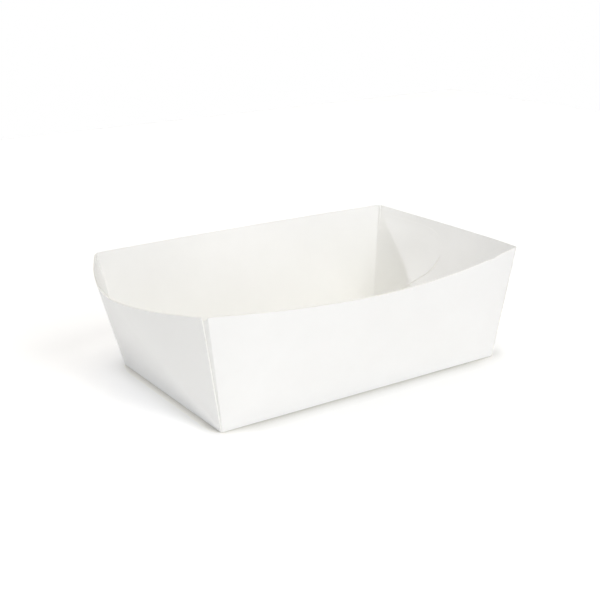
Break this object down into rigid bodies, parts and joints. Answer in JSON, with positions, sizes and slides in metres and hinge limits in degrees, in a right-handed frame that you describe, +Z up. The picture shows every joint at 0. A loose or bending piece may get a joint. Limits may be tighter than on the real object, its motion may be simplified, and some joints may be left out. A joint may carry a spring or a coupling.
{
  "type": "fries tray",
  "caption": "Open paperboard tray folded from one sheet, with flared, bowed walls and glue flaps inside the end walls, for serving fries.",
  "frame": {"origin": "centre of the flat underside, on the surface that the tray stands on", "axes": "+X along the length, +Y across the width, +Z up out of the open top"},
  "size_m": [0.174, 0.1128, 0.047],
  "materials": {
    "paperboard": "matte"
  },
  "bodies": {
    "root": {"tray": "paperboard"}
  },
  "joints": []
}
